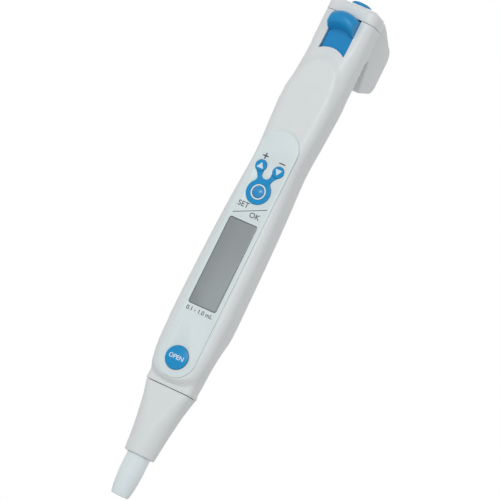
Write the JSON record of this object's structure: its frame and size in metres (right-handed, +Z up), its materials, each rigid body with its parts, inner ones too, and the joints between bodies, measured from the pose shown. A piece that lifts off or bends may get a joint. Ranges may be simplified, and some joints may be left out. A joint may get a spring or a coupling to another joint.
{
  "type": "electronic pipette",
  "caption": "Handheld electronic single-channel pipette with finger hook, display, keys, thumb ejector and motor-driven piston.",
  "frame": {"origin": "middle of the finger hook's seat, the underside that rests on a holder's rail or on the finger", "axes": "+Z up along the piston axis towards the operating button, -Y towards the display, +X to the right of someone who faces the display"},
  "size_m": [0.026, 0.0455, 0.23],
  "materials": {
    "battery": "dark film wrap",
    "battery_plug": "white",
    "button_board": "green laminate",
    "button_spring": "spring steel",
    "case_screw_1": "zinc plated",
    "case_screw_2": "zinc plated",
    "case_screw_3": "zinc plated",
    "charge_contact_left": "gold-coloured plate",
    "charge_contact_right": "gold-coloured plate",
    "cylinder": "natural white",
    "display_module": "black",
    "display_window": "grey green behind clear plastic",
    "dome_down": "bright",
    "dome_mode": "bright",
    "dome_up": "bright",
    "drive_motor": "satin can",
    "drive_nut": "natural white acetal",
    "eject_lever": "blue, semi-gloss",
    "eject_rod": "ground",
    "eject_sleeve": "light grey, fine satin grain",
    "eject_spring": "spring steel",
    "front_panel": "pale blue grey, satin",
    "front_shell": "light grey, fine satin grain",
    "guide_rod": "ground",
    "home_sensor": "black",
    "key_bezel": "blue, semi-gloss",
    "key_down": "blue, semi-gloss",
    "key_mode": "blue, glossy dome",
    "key_up": "blue, semi-gloss",
    "latch_ring": "stainless, stamped",
    "lead_screw": "rolled thread",
    "lower_guide": "natural white",
    "main_board": "green laminate",
    "mode_ring": "white",
    "motor_bracket": "stamped plate",
    "nozzle": "pale grey, glossy",
    "nozzle_filter": "porous white",
    "nozzle_seal": "black",
    "operation_button": "blue, semi-gloss",
    "piston": "polished",
    "piston_seal": "black",
    "push_tube": "drawn",
    "rear_shell": "light grey, fine satin grain",
    "release_button": "blue, semi-gloss",
    "release_spring": "spring steel",
    "seal_retainer": "natural white",
    "top_cap": "light grey, fine satin grain"
  },
  "bodies": {
    "casing": {"battery": "battery", "battery_plug": "battery_plug", "button_board": "button_board", "button_spring": "button_spring", "case_screw_1": "case_screw_1", "case_screw_2": "case_screw_2", "case_screw_3": "case_screw_3", "charge_contact_left": "charge_contact_left", "charge_contact_right": "charge_contact_right", "cylinder": "cylinder", "display_module": "display_module", "display_window": "display_window", "dome_down": "dome_down", "dome_mode": "dome_mode", "dome_up": "dome_up", "drive_motor": "drive_motor", "eject_spring": "eject_spring", "front_panel": "front_panel", "front_shell": "front_shell", "guide_rod": "guide_rod", "home_sensor": "home_sensor", "key_bezel": "key_bezel", "lower_guide": "lower_guide", "main_board": "main_board", "mode_ring": "mode_ring", "motor_bracket": "motor_bracket", "nozzle": "nozzle", "nozzle_filter": "nozzle_filter", "nozzle_seal": "nozzle_seal", "piston_seal": "piston_seal", "rear_shell": "rear_shell", "release_spring": "release_spring", "seal_retainer": "seal_retainer", "top_cap": "top_cap"},
    "button": {"operation_button": "operation_button"},
    "ejector": {"eject_lever": "eject_lever", "eject_rod": "eject_rod", "eject_sleeve": "eject_sleeve"},
    "up_key": {"key_up": "key_up"},
    "down_key": {"key_down": "key_down"},
    "mode_key": {"key_mode": "key_mode"},
    "release": {"release_button": "release_button", "latch_ring": "latch_ring"},
    "plunger": {"drive_nut": "drive_nut", "push_tube": "push_tube", "piston": "piston"},
    "screw_shaft": {"lead_screw": "lead_screw"}
  },
  "joints": [
    {"name": "button_press", "type": "slide", "parent": "casing", "child": "button", "axis": [0, 0, -1], "range_m": [0, 0.002], "stiffness_N_per_m": 600, "deforming": ["button_spring"]},
    {"name": "eject_press", "type": "slide", "parent": "casing", "child": "ejector", "axis": [0, 0, -1], "range_m": [0, 0.007], "stiffness_N_per_m": 900, "deforming": ["eject_spring"]},
    {"name": "up_press", "type": "slide", "parent": "casing", "child": "up_key", "axis": [0, 1, 0], "range_m": [0, 0.0004], "stiffness_N_per_m": 800},
    {"name": "down_press", "type": "slide", "parent": "casing", "child": "down_key", "axis": [0, 1, 0], "range_m": [0, 0.0004], "stiffness_N_per_m": 800},
    {"name": "mode_press", "type": "slide", "parent": "casing", "child": "mode_key", "axis": [0, 1, 0], "range_m": [0, 0.0004], "stiffness_N_per_m": 800},
    {"name": "release_press", "type": "slide", "parent": "casing", "child": "release", "axis": [0, 1, 0], "range_m": [0, 0.0006], "stiffness_N_per_m": 1500},
    {"name": "plunger_stroke", "type": "slide", "parent": "casing", "child": "plunger", "axis": [0, 0, 1], "range_m": [0, 0.03537]},
    {"name": "screw_turn", "type": "hinge", "parent": "casing", "child": "screw_shaft", "pos_m": [0, -0.0121, -0.0596], "axis": [0, 0, 1], "range_deg": [-3185, 1]}
  ],
  "couplings": [
    {"joint": "screw_turn", "follows": "plunger_stroke", "rad_per_m": -1570.8}
  ]
}
